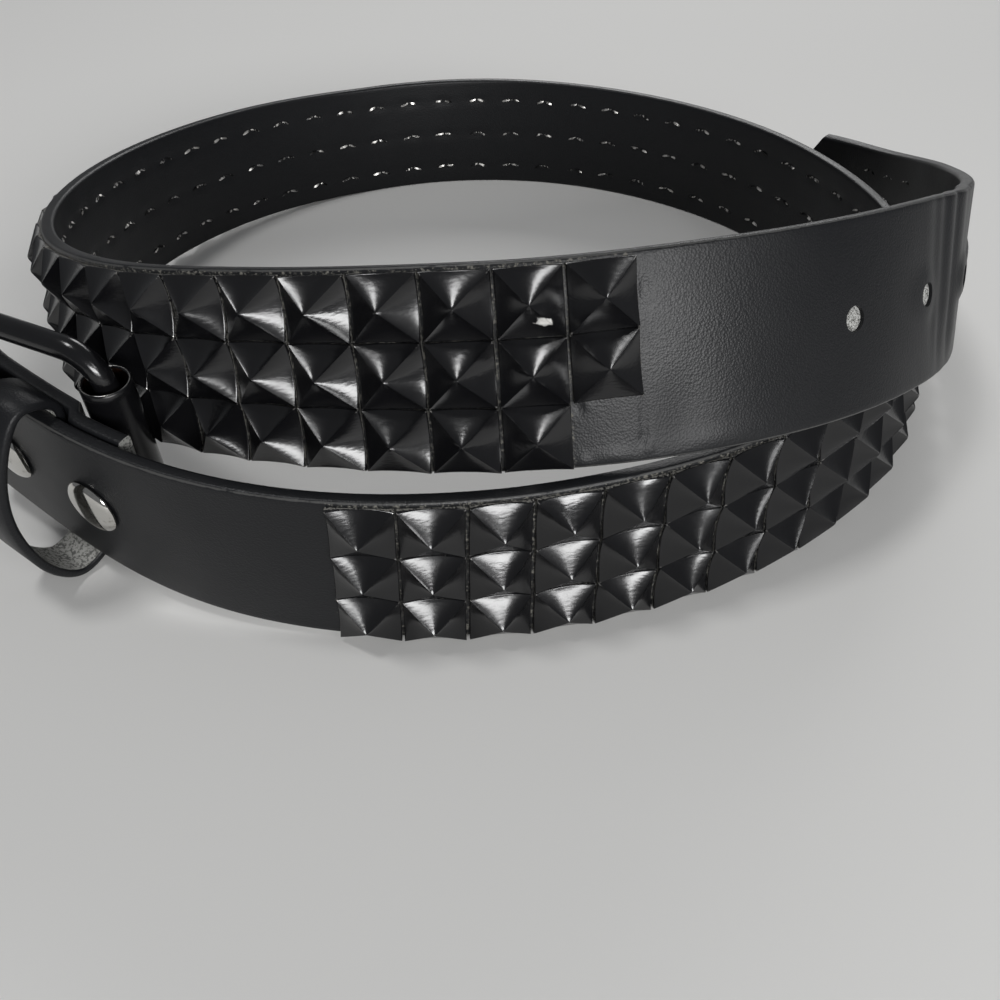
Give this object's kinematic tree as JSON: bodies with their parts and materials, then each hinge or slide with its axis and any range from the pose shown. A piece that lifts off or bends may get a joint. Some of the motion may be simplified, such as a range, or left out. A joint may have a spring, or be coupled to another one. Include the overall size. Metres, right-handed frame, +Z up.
{
  "type": "studded belt",
  "caption": "Black leather belt with rows of pyramid studs, loosely coiled on its edge, with a roller buckle, prong, keeper loop, snaps and punched holes.",
  "frame": {"origin": "on the floor, under the middle of the box round the coiled belt", "axes": "+Z up from the floor, along the strap's width; +X to the right and +Y away, as the belt is seen from its front"},
  "size_m": [0.2762, 0.2512, 0.0757],
  "materials": {
    "leather": "satin black with a fine grain",
    "lacquer": "gloss black lacquer, worn at the edges",
    "chrome": "polished"
  },
  "bodies": {
    "belt": {"strap": "leather", "stud_field": "lacquer", "tip_studs": "lacquer", "snap_1": "chrome", "snap_2": "chrome", "keeper_loop": "leather"},
    "buckle": {"buckle_frame": "lacquer"},
    "roller_tube": {"roller": "lacquer"},
    "prong_pin": {"prong": "lacquer"}
  },
  "joints": [
    {"name": "buckle_swing", "type": "hinge", "parent": "belt", "child": "buckle", "pos_m": [-0.11161, -0.07362, 0.03078], "axis": [0.0137, -0.0985, 0.995], "range_deg": [-0.4, 0.4]},
    {"name": "roller_spin", "type": "hinge", "parent": "buckle", "child": "roller_tube", "pos_m": [-0.07209, -0.09164, 0.02845], "axis": [0.0137, -0.0985, 0.995], "continuous": true},
    {"name": "prong_swing", "type": "hinge", "parent": "buckle", "child": "prong_pin", "pos_m": [-0.11161, -0.07362, 0.03078], "axis": [0.0137, -0.0985, 0.995], "range_deg": [-20, 60]}
  ]
}
